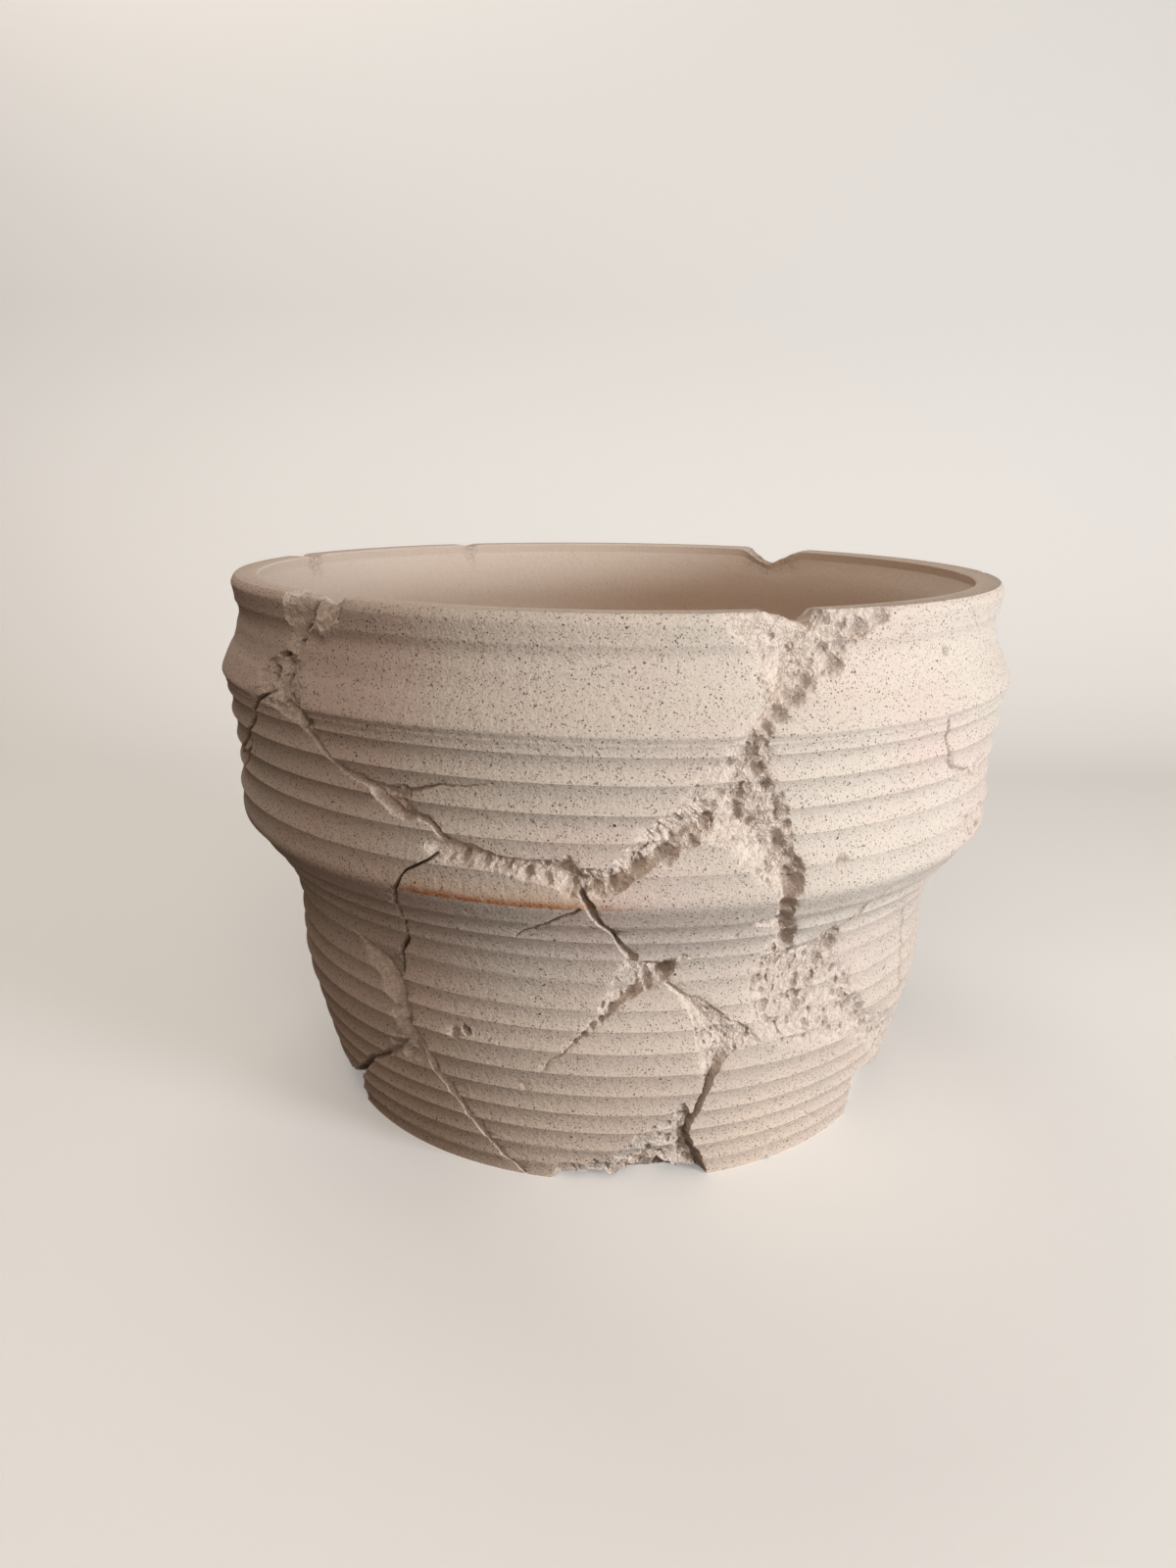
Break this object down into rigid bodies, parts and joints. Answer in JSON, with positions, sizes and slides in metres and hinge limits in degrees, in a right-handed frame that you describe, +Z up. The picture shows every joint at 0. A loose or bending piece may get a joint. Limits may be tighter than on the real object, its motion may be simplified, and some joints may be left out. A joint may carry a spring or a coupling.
{
  "type": "cracked flower pot",
  "caption": "Round wheel-thrown stoneware flower pot with a wide ringed upper body over a narrower foot, cracked through its front wall, with a broken rim and a chipped foot.",
  "frame": {"origin": "centre of the ground face under the pot, on the axis it was thrown on", "axes": "+Z up out of the mouth, -Y towards the cracked front"},
  "size_m": [0.267, 0.267, 0.178],
  "materials": {
    "speckled_stoneware": "unglazed matt speckled stoneware, cream with a pinkish cast, rough pale clay where it is broken"
  },
  "bodies": {
    "root": {"pot": "speckled_stoneware"}
  },
  "joints": []
}
